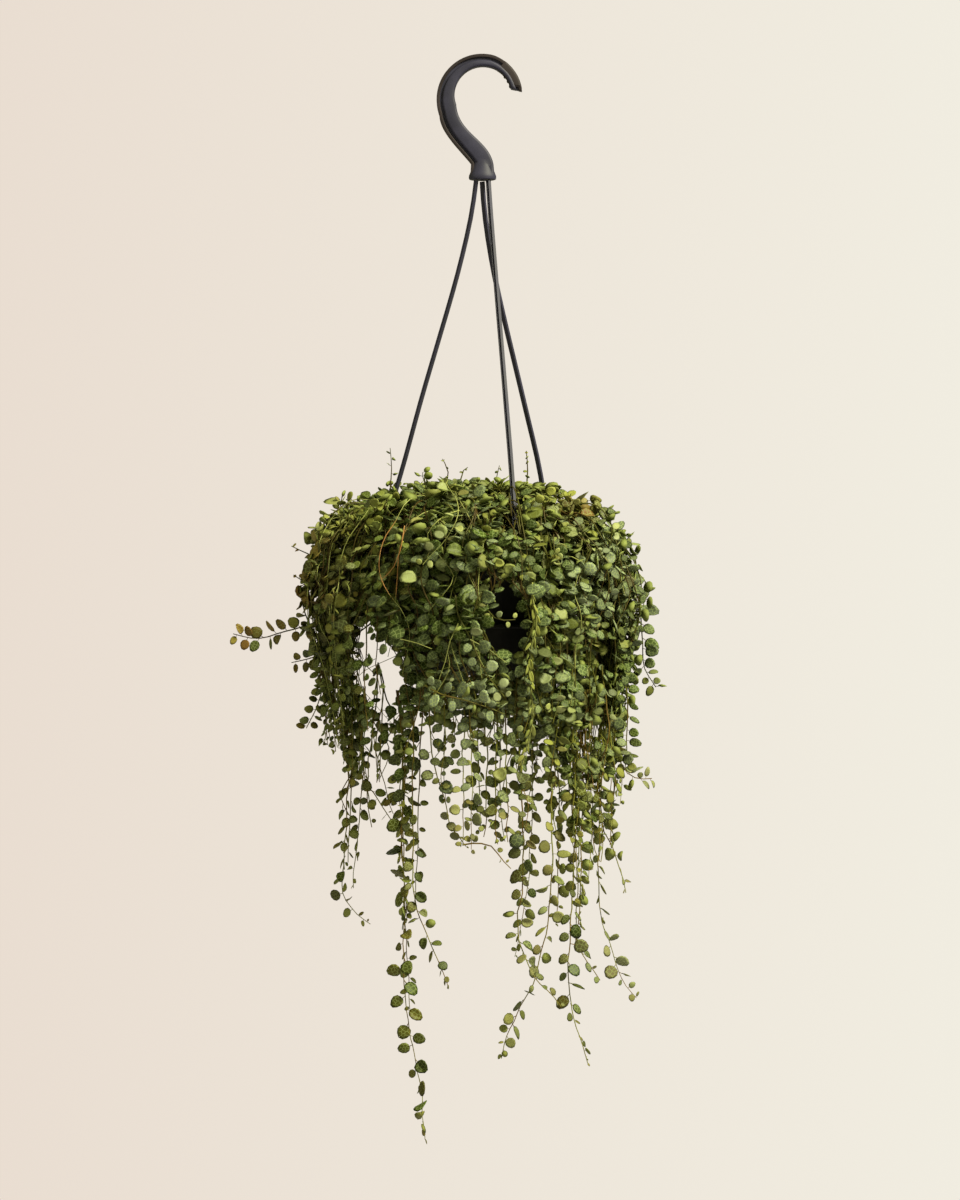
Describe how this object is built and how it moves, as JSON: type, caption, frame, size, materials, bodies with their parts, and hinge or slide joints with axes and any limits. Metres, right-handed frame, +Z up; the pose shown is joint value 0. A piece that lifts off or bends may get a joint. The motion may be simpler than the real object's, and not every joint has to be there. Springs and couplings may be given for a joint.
{
  "type": "potted string of turtles",
  "caption": "Trailing string-of-turtles plant in a round hanging pot with a clip-on saucer and a hooked three-armed plastic hanger.",
  "frame": {"origin": "crown of the hook, where its inside bears on the rail", "axes": "+Z up; -Y is the front, the side usually seen; +X to the right from the front, the side the hook opens to"},
  "size_m": [0.3133, 0.2452, 0.776],
  "materials": {
    "hanger_plastic": "dark blue-grey moulded plastic, satin",
    "pot_plastic": "black nursery-pot plastic, dull",
    "potting_soil": "damp peat mix, crumbly",
    "foliage": "fleshy green leaves, satin, with pale veins"
  },
  "bodies": {
    "root": {"hook": "hanger_plastic", "arm_front": "hanger_plastic", "arm_right": "hanger_plastic", "arm_left": "hanger_plastic", "pot": "pot_plastic", "saucer": "pot_plastic", "soil": "potting_soil", "crown": "foliage", "bunch_01": "foliage", "bunch_02": "foliage", "bunch_03": "foliage", "bunch_04": "foliage", "bunch_05": "foliage", "bunch_06": "foliage", "bunch_07": "foliage", "bunch_08": "foliage", "bunch_09": "foliage", "bunch_10": "foliage", "bunch_11": "foliage", "bunch_12": "foliage"}
  },
  "joints": []
}
